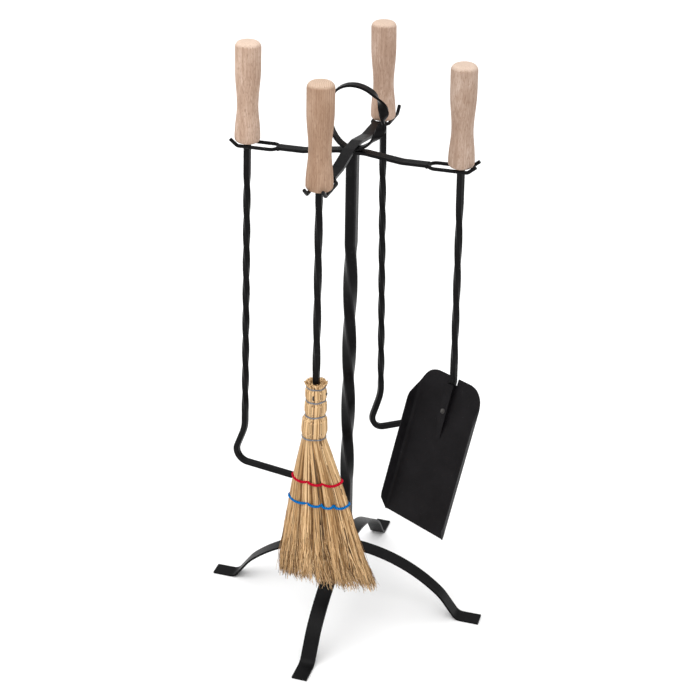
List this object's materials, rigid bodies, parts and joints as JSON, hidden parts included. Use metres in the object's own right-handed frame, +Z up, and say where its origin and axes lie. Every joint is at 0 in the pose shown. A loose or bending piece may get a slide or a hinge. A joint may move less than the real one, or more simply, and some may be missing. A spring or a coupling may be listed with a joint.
{
  "type": "fireplace tool set",
  "caption": "Twisted-bar steel stand with arched feet, forked arms and a carry loop, holding a hooked poker, a second hook, a shovel and a straw broom with turned wooden handles.",
  "frame": {"origin": "on the floor under the post", "axes": "+Z up; the poker hangs towards -X, the broom towards -Y, the shovel towards +X, the second hook towards +Y"},
  "size_m": [0.344, 0.3442, 0.6951],
  "materials": {
    "painted_steel": "matte black paint over forged bar",
    "beech": "sanded, unfinished",
    "straw": "dry natural straw",
    "galvanised_wire": "galvanised",
    "red_thread": "twisted cord",
    "blue_thread": "twisted cord",
    "bare_steel": "darkened"
  },
  "bodies": {
    "stand": {"post": "painted_steel", "foot_bar_side": "painted_steel", "foot_bar_fore": "painted_steel", "arm_bar_side": "painted_steel", "arm_bar_fore": "painted_steel", "carry_loop": "painted_steel", "fork_left": "painted_steel", "fork_front": "painted_steel", "fork_right": "painted_steel", "fork_back": "painted_steel"},
    "poker": {"poker_handle": "beech", "poker_shaft": "painted_steel"},
    "rake": {"rake_handle": "beech", "rake_shaft": "painted_steel"},
    "shovel": {"shovel_handle": "beech", "shovel_shaft": "painted_steel", "shovel_blade": "painted_steel", "shovel_rivet": "bare_steel"},
    "broom": {"broom_handle": "beech", "broom_shaft": "painted_steel", "broom_straw": "straw", "broom_nails": "bare_steel", "broom_wire_1": "galvanised_wire", "broom_wire_2": "galvanised_wire", "broom_wire_3": "galvanised_wire", "broom_wire_4": "galvanised_wire", "broom_stitch_red": "red_thread", "broom_stitch_blue": "blue_thread"}
  },
  "joints": [
    {"name": "poker_lift", "type": "slide", "parent": "stand", "child": "poker", "axis": [-0.5, 0, 0.866], "range_m": [0, 0.2]},
    {"name": "rake_lift", "type": "slide", "parent": "stand", "child": "rake", "axis": [0, 0.5, 0.866], "range_m": [0, 0.2]},
    {"name": "shovel_lift", "type": "slide", "parent": "stand", "child": "shovel", "axis": [0.5, 0, 0.866], "range_m": [0, 0.2]},
    {"name": "broom_lift", "type": "slide", "parent": "stand", "child": "broom", "axis": [0, -0.5, 0.866], "range_m": [0, 0.2]}
  ]
}
